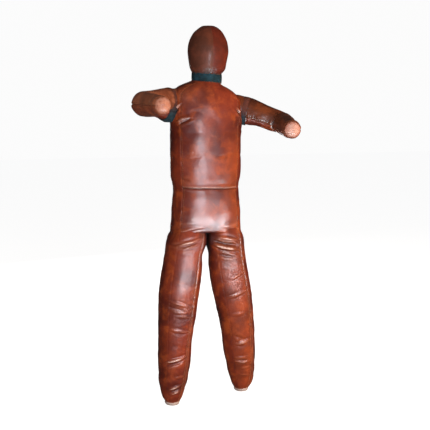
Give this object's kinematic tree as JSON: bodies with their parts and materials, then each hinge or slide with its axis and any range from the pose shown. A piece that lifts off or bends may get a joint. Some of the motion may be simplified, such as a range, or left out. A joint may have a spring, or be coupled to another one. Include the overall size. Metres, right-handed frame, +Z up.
{
  "type": "grappling mannequin",
  "caption": "Life-size stuffed leather grappling mannequin with a plain egg-shaped head, arms held forward and tapered legs, bending at neck, waist, shoulders, elbows, hips and knees.",
  "frame": {"origin": "on the floor, under the middle of the whole figure's box", "axes": "+Z up from the soles to the crown, the mannequin faces -Y, its own right side is at -X"},
  "size_m": [0.718, 0.474, 1.69],
  "materials": {
    "hide": "satin",
    "worn_hide": "satin",
    "band_cloth": "matte",
    "stuffing": "matte"
  },
  "bodies": {
    "pelvis": {"pelvis_filling": "stuffing", "pelvis_front_panel": "hide", "pelvis_side_panel_right": "hide", "pelvis_side_panel_left": "hide", "pelvis_back_panel_right": "hide", "pelvis_back_panel_left": "hide"},
    "chest": {"chest_filling": "stuffing", "chest_front_panel": "hide", "chest_side_panel_right": "hide", "chest_side_panel_left": "hide", "chest_back_panel_right": "hide", "chest_back_panel_left": "hide", "back_closing_flap": "hide"},
    "head": {"head_filling": "stuffing", "head_panel_right": "hide", "head_panel_left": "hide", "neck_band": "band_cloth"},
    "upper_arm_right": {"upper_arm_filling_right": "stuffing", "upper_arm_top_panel_right": "hide", "upper_arm_under_panel_right": "hide", "armhole_band_right": "band_cloth"},
    "forearm_right": {"forearm_filling_right": "stuffing", "forearm_top_panel_right": "hide", "forearm_under_panel_right": "hide", "hand_cap_right": "worn_hide"},
    "thigh_right": {"thigh_filling_right": "stuffing", "thigh_front_panel_right": "hide", "thigh_back_panel_right": "hide"},
    "shin_right": {"shin_filling_right": "stuffing", "shin_front_panel_right": "hide", "shin_back_panel_right": "hide", "sole_patch_right": "worn_hide"},
    "upper_arm_left": {"upper_arm_filling_left": "stuffing", "upper_arm_top_panel_left": "hide", "upper_arm_under_panel_left": "hide", "armhole_band_left": "band_cloth"},
    "forearm_left": {"forearm_filling_left": "stuffing", "forearm_top_panel_left": "hide", "forearm_under_panel_left": "hide", "hand_cap_left": "worn_hide"},
    "thigh_left": {"thigh_filling_left": "stuffing", "thigh_front_panel_left": "hide", "thigh_back_panel_left": "hide"},
    "shin_left": {"shin_filling_left": "stuffing", "shin_front_panel_left": "hide", "shin_back_panel_left": "hide", "sole_patch_left": "worn_hide"}
  },
  "joints": [
    {"name": "waist_bend", "type": "hinge", "parent": "pelvis", "child": "chest", "pos_m": [-0.012, 0.125, 0.985], "axis": [1, 0, 0], "range_deg": [-10, 20]},
    {"name": "neck_nod", "type": "hinge", "parent": "chest", "child": "head", "pos_m": [-0.002, 0.125, 1.44], "axis": [1, 0, 0], "range_deg": [-15, 20]},
    {"name": "shoulder_lift_right", "type": "hinge", "parent": "chest", "child": "upper_arm_right", "pos_m": [-0.134, 0.125, 1.352], "axis": [-0.5391, 0.8423, 0], "range_deg": [-30, 25]},
    {"name": "elbow_fold_right", "type": "hinge", "parent": "upper_arm_right", "child": "forearm_right", "pos_m": [-0.309, 0.013, 1.354], "axis": [0.016, -0.0072, 0.9998], "range_deg": [-40, 25]},
    {"name": "hip_swing_right", "type": "hinge", "parent": "pelvis", "child": "thigh_right", "pos_m": [-0.096, 0.125, 0.756], "axis": [-1, 0, 0], "range_deg": [-20, 60]},
    {"name": "knee_bend_right", "type": "hinge", "parent": "thigh_right", "child": "shin_right", "pos_m": [-0.159, 0.103, 0.345], "axis": [1, 0, 0], "range_deg": [0, 70]},
    {"name": "shoulder_lift_left", "type": "hinge", "parent": "chest", "child": "upper_arm_left", "pos_m": [0.11, 0.125, 1.334], "axis": [-0.4044, -0.9146, 0], "range_deg": [-30, 25]},
    {"name": "elbow_fold_left", "type": "hinge", "parent": "upper_arm_left", "child": "forearm_left", "pos_m": [0.309, 0.037, 1.271], "axis": [-0.2513, 0.1193, -0.9605], "range_deg": [-40, 25]},
    {"name": "hip_swing_left", "type": "hinge", "parent": "pelvis", "child": "thigh_left", "pos_m": [0.072, 0.125, 0.756], "axis": [-1, 0, 0], "range_deg": [-20, 60]},
    {"name": "knee_bend_left", "type": "hinge", "parent": "thigh_left", "child": "shin_left", "pos_m": [0.14, 0.145, 0.345], "axis": [1, 0, 0], "range_deg": [0, 70]}
  ]
}
